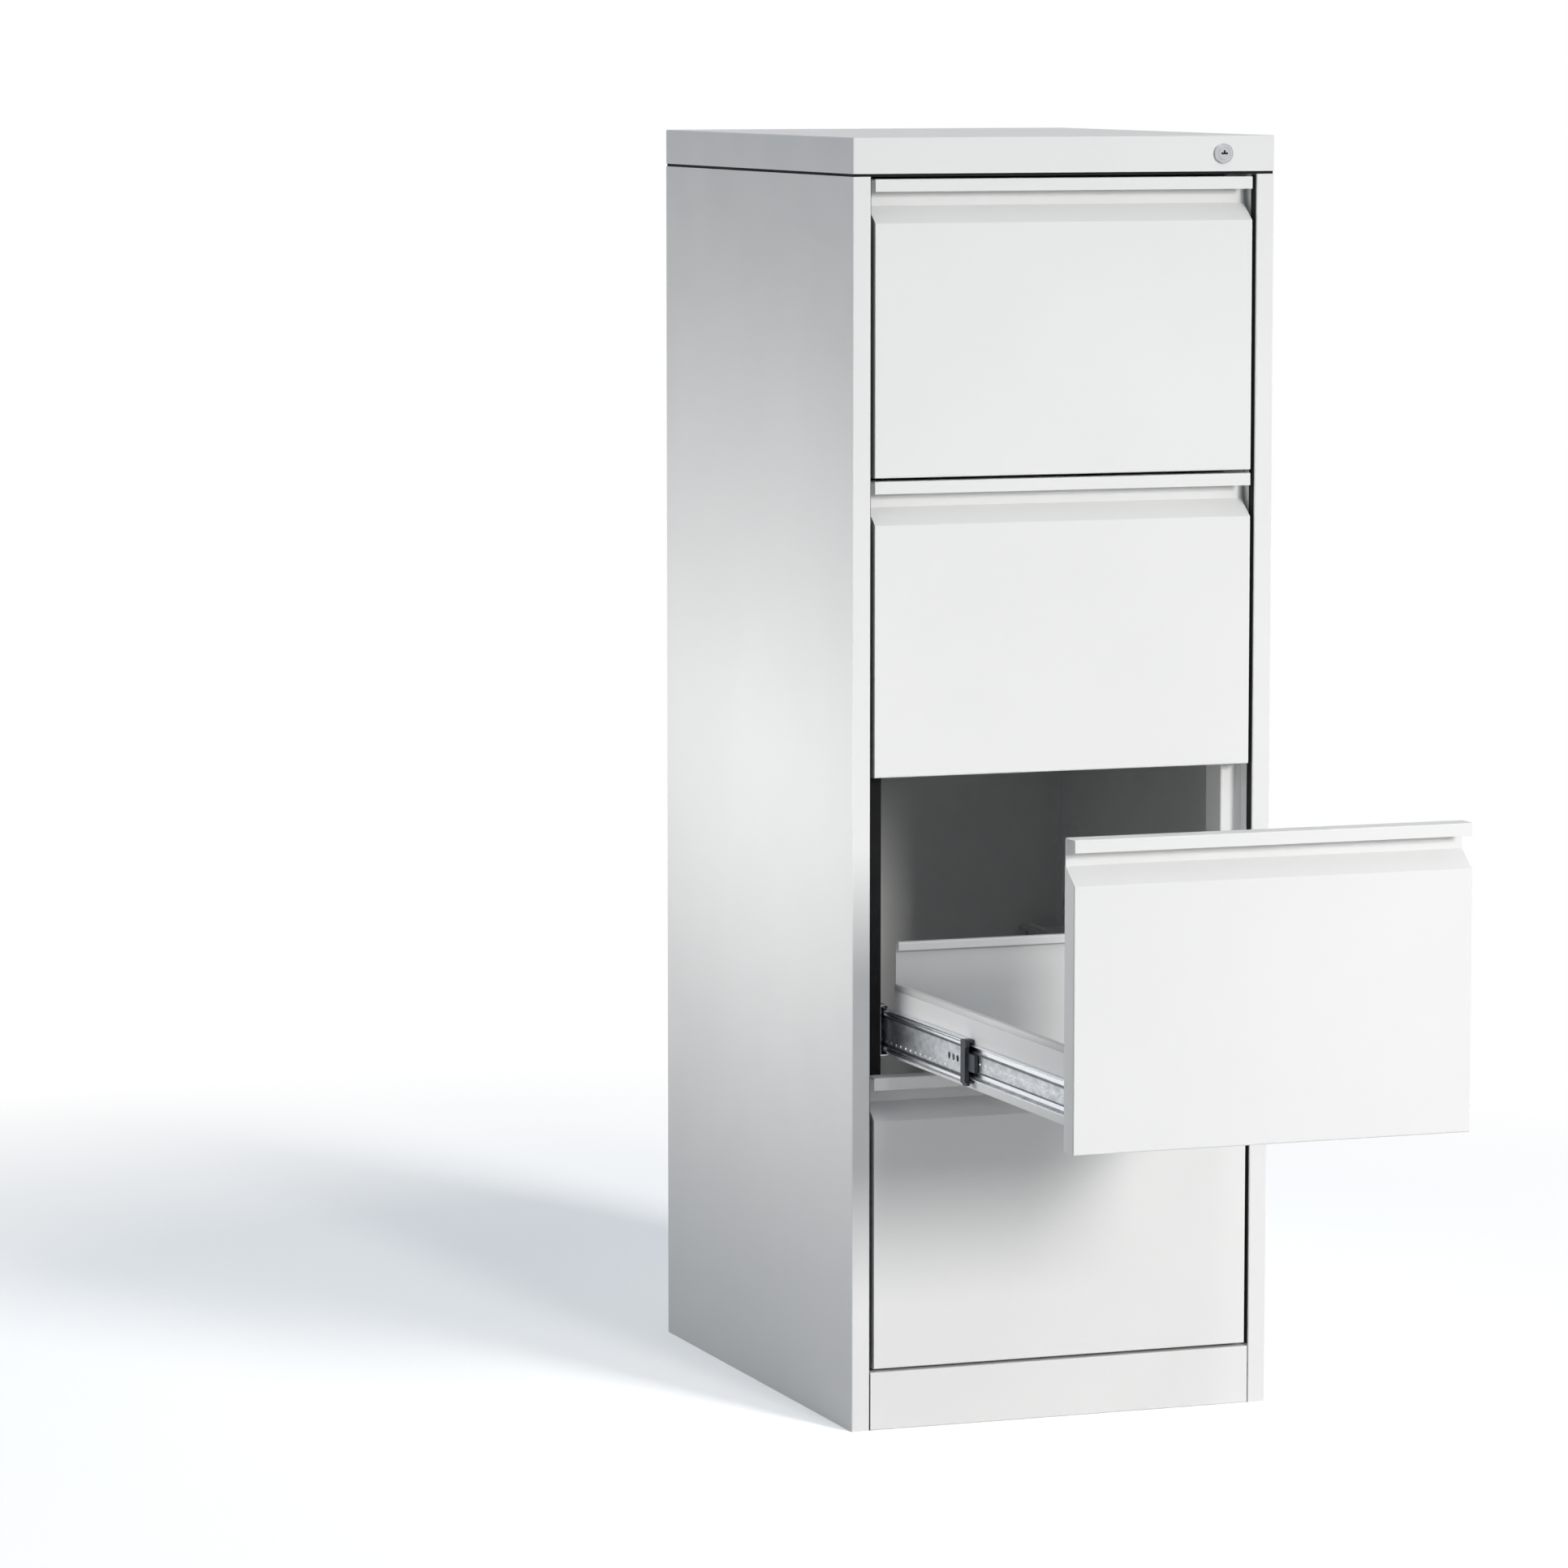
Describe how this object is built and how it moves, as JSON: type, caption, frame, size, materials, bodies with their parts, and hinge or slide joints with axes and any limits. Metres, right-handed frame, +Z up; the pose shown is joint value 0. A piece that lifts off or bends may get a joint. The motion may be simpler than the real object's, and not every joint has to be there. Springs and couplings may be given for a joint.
{
  "type": "card index cabinet",
  "caption": "Upright steel card index cabinet with full-extension drawers on ball slides, hooked grip edges and a central cylinder lock.",
  "frame": {"origin": "on the floor under the middle of the cabinet's footprint (the carcass, without the drawer that stands out)", "axes": "+Z up, -Y towards the front that the drawers open to, +X to the right as seen from the front"},
  "size_m": [0.475, 1.135, 1.357],
  "materials": {
    "light_grey_paint": "light grey powder coat, satin, fine texture",
    "zinc_steel": "bright zinc-plated rolled steel",
    "ball_steel": "plain steel cages with polished balls",
    "dark_plastic": "moulded dark plastic, matt",
    "lock_chrome": "bright nickel-plated lock"
  },
  "bodies": {
    "cabinet": {"side_panel_left": "light_grey_paint", "side_panel_right": "light_grey_paint", "back_panel": "light_grey_paint", "base_frame": "light_grey_paint", "bottom_panel": "light_grey_paint", "plinth_panel": "light_grey_paint", "top_cover": "light_grey_paint", "top_frame": "light_grey_paint", "uprights": "light_grey_paint", "rail_brackets": "light_grey_paint", "cabinet_rails": "zinc_steel", "rail_screws": "zinc_steel", "lock_housing": "lock_chrome", "lock_nut": "zinc_steel", "lock_bar_guides": "dark_plastic"},
    "lock_core": {"lock_plug": "lock_chrome", "lock_cam": "zinc_steel", "lock_cam_screw": "zinc_steel"},
    "lock_bar": {"lock_bar": "zinc_steel"},
    "drawer_1": {"drawer_1_front": "light_grey_paint", "drawer_1_backing": "light_grey_paint", "drawer_1_tray": "light_grey_paint", "drawer_1_back_wall": "light_grey_paint", "drawer_1_slide_rails": "zinc_steel", "drawer_1_rail_ends": "dark_plastic"},
    "drawer_1_middle": {"drawer_1_middle_rails": "zinc_steel", "drawer_1_middle_ends": "dark_plastic"},
    "drawer_1_inner_balls": {"drawer_1_inner_cages": "ball_steel"},
    "drawer_1_outer_balls": {"drawer_1_outer_cages": "ball_steel"},
    "drawer_2": {"drawer_2_front": "light_grey_paint", "drawer_2_backing": "light_grey_paint", "drawer_2_tray": "light_grey_paint", "drawer_2_back_wall": "light_grey_paint", "drawer_2_slide_rails": "zinc_steel", "drawer_2_rail_ends": "dark_plastic"},
    "drawer_2_middle": {"drawer_2_middle_rails": "zinc_steel", "drawer_2_middle_ends": "dark_plastic"},
    "drawer_2_inner_balls": {"drawer_2_inner_cages": "ball_steel"},
    "drawer_2_outer_balls": {"drawer_2_outer_cages": "ball_steel"},
    "drawer_3": {"drawer_3_front": "light_grey_paint", "drawer_3_backing": "light_grey_paint", "drawer_3_tray": "light_grey_paint", "drawer_3_back_wall": "light_grey_paint", "drawer_3_slide_rails": "zinc_steel", "drawer_3_rail_ends": "dark_plastic"},
    "drawer_3_middle": {"drawer_3_middle_rails": "zinc_steel", "drawer_3_middle_ends": "dark_plastic"},
    "drawer_3_inner_balls": {"drawer_3_inner_cages": "ball_steel"},
    "drawer_3_outer_balls": {"drawer_3_outer_cages": "ball_steel"},
    "drawer_4": {"drawer_4_front": "light_grey_paint", "drawer_4_backing": "light_grey_paint", "drawer_4_tray": "light_grey_paint", "drawer_4_back_wall": "light_grey_paint", "drawer_4_slide_rails": "zinc_steel", "drawer_4_rail_ends": "dark_plastic"},
    "drawer_4_middle": {"drawer_4_middle_rails": "zinc_steel", "drawer_4_middle_ends": "dark_plastic"},
    "drawer_4_inner_balls": {"drawer_4_inner_cages": "ball_steel"},
    "drawer_4_outer_balls": {"drawer_4_outer_cages": "ball_steel"}
  },
  "joints": [
    {"name": "lock_bar_lift", "type": "slide", "parent": "cabinet", "child": "lock_bar", "axis": [0, 0, 1], "range_m": [0, 0.01273]},
    {"name": "lock_turn", "type": "hinge", "parent": "cabinet", "child": "lock_core", "pos_m": [0.1785, -0.295, 1.33825], "axis": [0, -1, 0], "range_deg": [0, 90]},
    {"name": "drawer_1_slide", "type": "slide", "parent": "cabinet", "child": "drawer_1", "axis": [0, -1, 0], "range_m": [0, 0.545]},
    {"name": "drawer_1_middle_slide", "type": "slide", "parent": "cabinet", "child": "drawer_1_middle", "axis": [0, -1, 0], "range_m": [0, 0.2725]},
    {"name": "drawer_1_inner_balls_slide", "type": "slide", "parent": "cabinet", "child": "drawer_1_inner_balls", "axis": [0, -1, 0], "range_m": [0, 0.13625]},
    {"name": "drawer_1_outer_balls_slide", "type": "slide", "parent": "cabinet", "child": "drawer_1_outer_balls", "axis": [0, -1, 0], "range_m": [0, 0.40875]},
    {"name": "drawer_2_slide", "type": "slide", "parent": "cabinet", "child": "drawer_2", "axis": [0, -1, 0], "range_m": [0, 0.545]},
    {"name": "drawer_2_middle_slide", "type": "slide", "parent": "cabinet", "child": "drawer_2_middle", "axis": [0, -1, 0], "range_m": [0, 0.2725]},
    {"name": "drawer_2_inner_balls_slide", "type": "slide", "parent": "cabinet", "child": "drawer_2_inner_balls", "axis": [0, -1, 0], "range_m": [0, 0.13625]},
    {"name": "drawer_2_outer_balls_slide", "type": "slide", "parent": "cabinet", "child": "drawer_2_outer_balls", "axis": [0, -1, 0], "range_m": [0, 0.40875]},
    {"name": "drawer_3_slide", "type": "slide", "parent": "cabinet", "child": "drawer_3", "axis": [0, -1, 0], "range_m": [-0.545, 0]},
    {"name": "drawer_3_middle_slide", "type": "slide", "parent": "cabinet", "child": "drawer_3_middle", "axis": [0, -1, 0], "range_m": [-0.2725, 0]},
    {"name": "drawer_3_inner_balls_slide", "type": "slide", "parent": "cabinet", "child": "drawer_3_inner_balls", "axis": [0, -1, 0], "range_m": [-0.13625, 0]},
    {"name": "drawer_3_outer_balls_slide", "type": "slide", "parent": "cabinet", "child": "drawer_3_outer_balls", "axis": [0, -1, 0], "range_m": [-0.40875, 0]},
    {"name": "drawer_4_slide", "type": "slide", "parent": "cabinet", "child": "drawer_4", "axis": [0, -1, 0], "range_m": [0, 0.545]},
    {"name": "drawer_4_middle_slide", "type": "slide", "parent": "cabinet", "child": "drawer_4_middle", "axis": [0, -1, 0], "range_m": [0, 0.2725]},
    {"name": "drawer_4_inner_balls_slide", "type": "slide", "parent": "cabinet", "child": "drawer_4_inner_balls", "axis": [0, -1, 0], "range_m": [0, 0.13625]},
    {"name": "drawer_4_outer_balls_slide", "type": "slide", "parent": "cabinet", "child": "drawer_4_outer_balls", "axis": [0, -1, 0], "range_m": [0, 0.40875]}
  ],
  "couplings": [
    {"joint": "lock_turn", "follows": "lock_bar_lift", "rad_per_m": 123.41},
    {"joint": "drawer_1_middle_slide", "follows": "drawer_1_slide", "ratio": 0.5},
    {"joint": "drawer_1_inner_balls_slide", "follows": "drawer_1_slide", "ratio": 0.25},
    {"joint": "drawer_1_outer_balls_slide", "follows": "drawer_1_slide", "ratio": 0.75},
    {"joint": "drawer_2_middle_slide", "follows": "drawer_2_slide", "ratio": 0.5},
    {"joint": "drawer_2_inner_balls_slide", "follows": "drawer_2_slide", "ratio": 0.25},
    {"joint": "drawer_2_outer_balls_slide", "follows": "drawer_2_slide", "ratio": 0.75},
    {"joint": "drawer_3_middle_slide", "follows": "drawer_3_slide", "ratio": 0.5},
    {"joint": "drawer_3_inner_balls_slide", "follows": "drawer_3_slide", "ratio": 0.25},
    {"joint": "drawer_3_outer_balls_slide", "follows": "drawer_3_slide", "ratio": 0.75},
    {"joint": "drawer_4_middle_slide", "follows": "drawer_4_slide", "ratio": 0.5},
    {"joint": "drawer_4_inner_balls_slide", "follows": "drawer_4_slide", "ratio": 0.25},
    {"joint": "drawer_4_outer_balls_slide", "follows": "drawer_4_slide", "ratio": 0.75}
  ]
}
